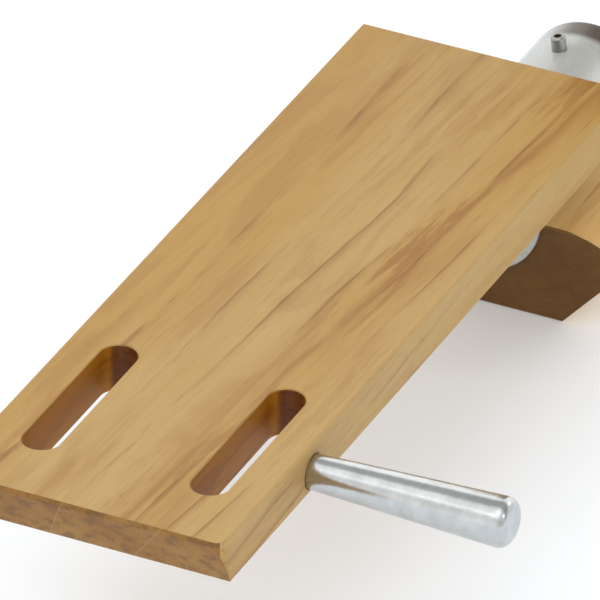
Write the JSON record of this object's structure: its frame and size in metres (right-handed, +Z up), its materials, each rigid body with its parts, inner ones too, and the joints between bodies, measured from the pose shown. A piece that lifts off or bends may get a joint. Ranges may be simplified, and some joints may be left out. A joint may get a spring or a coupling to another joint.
{
  "type": "leather stitching pony",
  "caption": "Oak base board on a foot with a steel swivel tube; a bent arm holds a turning head with two leather-faced jaws, a clamp bolt and a knob.",
  "frame": {"origin": "centre of the foot's underside", "axes": "+Z up, +Y along the board from its free end towards the jaws, +X to the side that the peg stands out of"},
  "size_m": [0.196, 0.534, 0.3804],
  "materials": {
    "oak_board": "oiled oak, satin",
    "oak_foot": "oiled oak, darker face",
    "oak_jaw": "oiled oak, satin",
    "tube_metal": "satin zinc-plated steel",
    "peg_metal": "polished steel",
    "arm_metal": "bright drawn steel",
    "screw_metal": "zinc-plated steel",
    "dark_metal": "black oxide steel",
    "brass": "turned brass",
    "bush_nylon": "natural nylon",
    "knob_plastic": "black moulded phenolic",
    "jaw_leather": "veg-tanned leather, flesh side glued",
    "spring_metal": "spring wire"
  },
  "bodies": {
    "base": {"base_board": "oak_board", "saddle_block": "oak_foot", "foot_block": "oak_foot", "saddle_screws": "screw_metal", "tube_screws": "screw_metal", "foot_bolts": "screw_metal", "foot_washers": "screw_metal", "weld_nuts": "screw_metal", "swivel_tube": "tube_metal", "near_bush": "bush_nylon", "far_bush": "bush_nylon", "peg_insert": "brass"},
    "leg_peg": {"leg_peg": "peg_metal"},
    "tube_lock": {"tube_lock_screw": "screw_metal"},
    "arm": {"swing_arm": "arm_metal", "arm_end_washer": "screw_metal", "arm_end_bolt": "screw_metal", "thrust_collar": "dark_metal", "thrust_grub_screw": "dark_metal"},
    "height_collar": {"height_collar": "dark_metal", "height_grub_screw": "dark_metal"},
    "head": {"head_base": "oak_jaw", "jaw_spacer": "oak_jaw", "head_sleeve": "brass", "lock_insert": "brass", "fixed_jaw": "oak_jaw", "fixed_facing": "jaw_leather", "fixed_jaw_screws": "screw_metal", "head_base_screws": "screw_metal", "clamp_bolt": "screw_metal", "hinge_fixed_leaf": "brass", "hinge_pin": "brass", "hinge_base_screws": "brass", "jaw_spring": "spring_metal"},
    "head_lock": {"head_lock_screw": "screw_metal", "head_lock_grip": "knob_plastic"},
    "moving_jaw": {"moving_jaw": "oak_jaw", "moving_facing": "jaw_leather", "hinge_moving_leaf": "brass", "hinge_jaw_screws": "brass"},
    "clamp_washer": {"clamp_washer": "screw_metal"},
    "clamp_knob": {"clamp_knob": "knob_plastic", "knob_insert": "brass"}
  },
  "joints": [
    {"name": "leg_peg_turn", "type": "hinge", "parent": "base", "child": "leg_peg", "pos_m": [0.055, -0.308, 0.0925], "axis": [1, 0, 0], "continuous": true},
    {"name": "tube_lock_turn", "type": "hinge", "parent": "base", "child": "tube_lock", "pos_m": [0, 0.0388, 0.043], "axis": [-0.1392, 0, 0.9903], "continuous": true},
    {"name": "arm_roll", "type": "hinge", "parent": "base", "child": "arm", "pos_m": [0, 0, 0.043], "axis": [0, 1, 0], "range_deg": [-60, 60]},
    {"name": "head_height", "type": "slide", "parent": "arm", "child": "height_collar", "axis": [0, 0, 1], "range_m": [0, 0.04]},
    {"name": "head_yaw", "type": "hinge", "parent": "height_collar", "child": "head", "pos_m": [0, 0.11, 0.13], "axis": [0, 0, 1], "continuous": true},
    {"name": "head_lock_turn", "type": "hinge", "parent": "head", "child": "head_lock", "pos_m": [0, 0.07, 0.137], "axis": [0, 1, 0], "continuous": true},
    {"name": "jaw_open", "type": "hinge", "parent": "head", "child": "moving_jaw", "pos_m": [0.0373, 0.11, 0.151], "axis": [0, 1, 0], "range_deg": [0, 9]},
    {"name": "clamp_travel", "type": "slide", "parent": "head", "child": "clamp_washer", "axis": [1, 0, 0], "range_m": [0, 0.0156]},
    {"name": "clamp_knob_turn", "type": "hinge", "parent": "clamp_washer", "child": "clamp_knob", "pos_m": [0.036, 0.11, 0.235], "axis": [1, 0, 0], "continuous": true}
  ],
  "couplings": [
    {"joint": "clamp_travel", "follows": "jaw_open", "m_per_rad": 0.0985}
  ]
}
